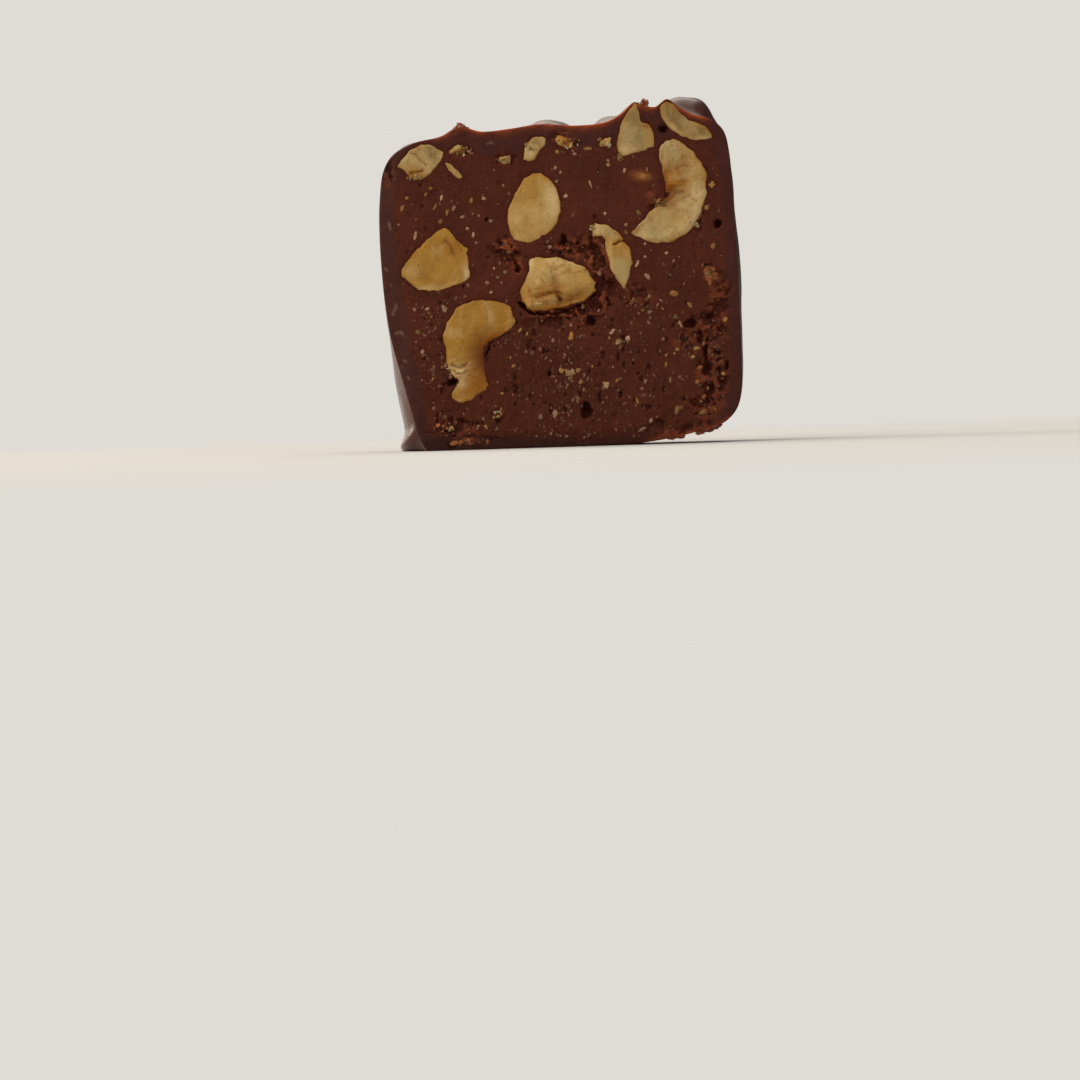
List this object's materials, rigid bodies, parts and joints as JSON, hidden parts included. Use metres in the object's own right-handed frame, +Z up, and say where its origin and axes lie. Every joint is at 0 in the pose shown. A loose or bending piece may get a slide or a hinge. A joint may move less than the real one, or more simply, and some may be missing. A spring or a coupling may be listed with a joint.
{
  "type": "cut nut praline",
  "caption": "Cube-like chocolate-coated nut praline cut upright, resting on its flat base, with a flat cut face that shows the coat, the paste filling and broken nut kernels.",
  "frame": {"origin": "under the middle of the part's bounding box, on the plane of its base", "axes": "+X to the right along the cut face, +Y from the cut face to the rounded back, +Z up"},
  "size_m": [0.0368, 0.0188, 0.0353],
  "materials": {
    "coating": "satin dark chocolate coat, soft sheen",
    "filling": "dull brown nut paste with pale flecks",
    "nut": "dull golden nut flesh as cut"
  },
  "bodies": {
    "root": {"coating": "coating", "filling": "filling", "corner_nut": "nut", "sliver_nut": "nut", "upper_kernel": "nut", "left_kernel": "nut", "centre_kernel": "nut", "slim_crescent": "nut", "big_crescent": "nut", "block_nut": "nut", "half_moon_nut": "nut", "hook_crescent": "nut", "small_nut": "nut", "left_chip": "nut", "middle_chip": "nut", "top_chip": "nut", "right_chip": "nut"}
  },
  "joints": []
}
